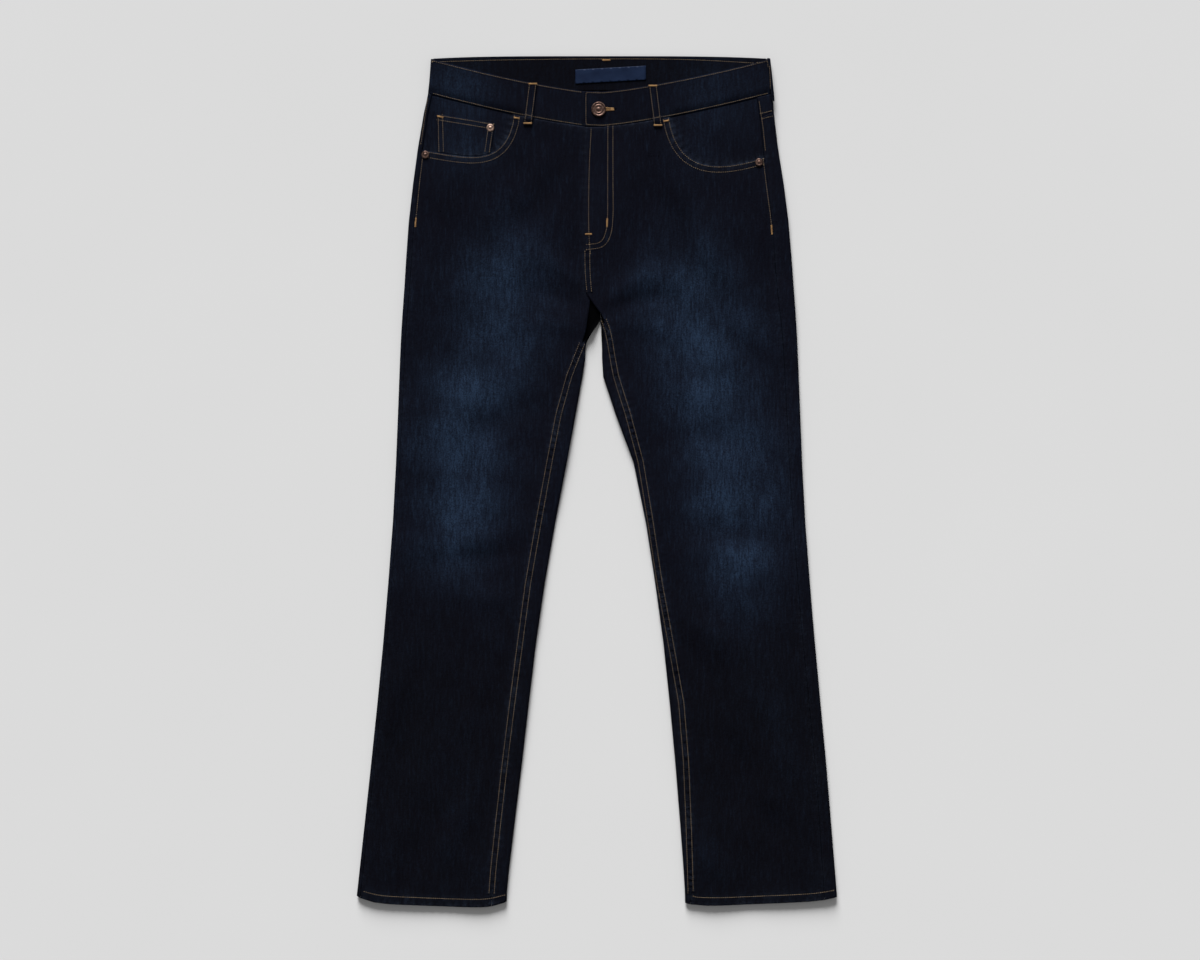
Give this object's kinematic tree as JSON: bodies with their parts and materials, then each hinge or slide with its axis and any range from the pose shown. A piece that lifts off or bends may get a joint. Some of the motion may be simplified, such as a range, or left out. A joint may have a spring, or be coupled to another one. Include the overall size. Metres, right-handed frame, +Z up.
{
  "type": "jeans",
  "caption": "Slim-straight five-pocket denim jeans laid flat on their back, closed, with the legs slightly apart.",
  "frame": {"origin": "on the surface the jeans lie on, under the middle of their bounding box", "axes": "+Y from the hems to the waistband, +X to the wearer's left, +Z up off the surface, out of the front"},
  "size_m": [0.5996, 1.0622, 0.0114],
  "materials": {
    "denim": "washed twill denim, dark navy, faded to blue on the thighs",
    "copper": "antique copper, slightly worn",
    "label": "woven satin, navy"
  },
  "bodies": {
    "root": {"front_right": "denim", "back_right": "denim", "yoke_right": "denim", "pocket_facing_right": "denim", "back_pocket_right": "denim", "belt_loop_front_right": "denim", "belt_loop_side_right": "denim", "front_left": "denim", "back_left": "denim", "yoke_left": "denim", "pocket_facing_left": "denim", "back_pocket_left": "denim", "belt_loop_front_left": "denim", "belt_loop_side_left": "denim", "waistband": "denim", "belt_loop_back": "denim", "coin_pocket": "denim", "rivet_side_right": "copper", "rivet_side_left": "copper", "rivet_coin": "copper", "button": "copper", "label": "label"}
  },
  "joints": []
}
